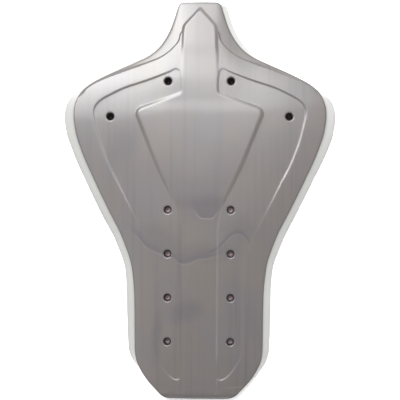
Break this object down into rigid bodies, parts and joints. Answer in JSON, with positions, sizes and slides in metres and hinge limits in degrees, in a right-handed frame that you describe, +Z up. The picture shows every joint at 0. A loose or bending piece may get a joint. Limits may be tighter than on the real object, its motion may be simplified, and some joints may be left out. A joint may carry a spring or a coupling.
{
  "type": "back protector",
  "caption": "One-piece moulded foam back protector insert with a neck tab, raised centre panel, recessed side pockets and round vents.",
  "frame": {"origin": "the middle of the bounding box in plan, on the surface that the pad lies on", "axes": "+Y along the spine towards the neck tab, +X to the right seen from the face, +Z up out of the face"},
  "size_m": [0.302, 0.44, 0.0192],
  "materials": {
    "moulded_foam": "satin moulded skin"
  },
  "bodies": {
    "root": {"protector_pad": "moulded_foam"}
  },
  "joints": []
}
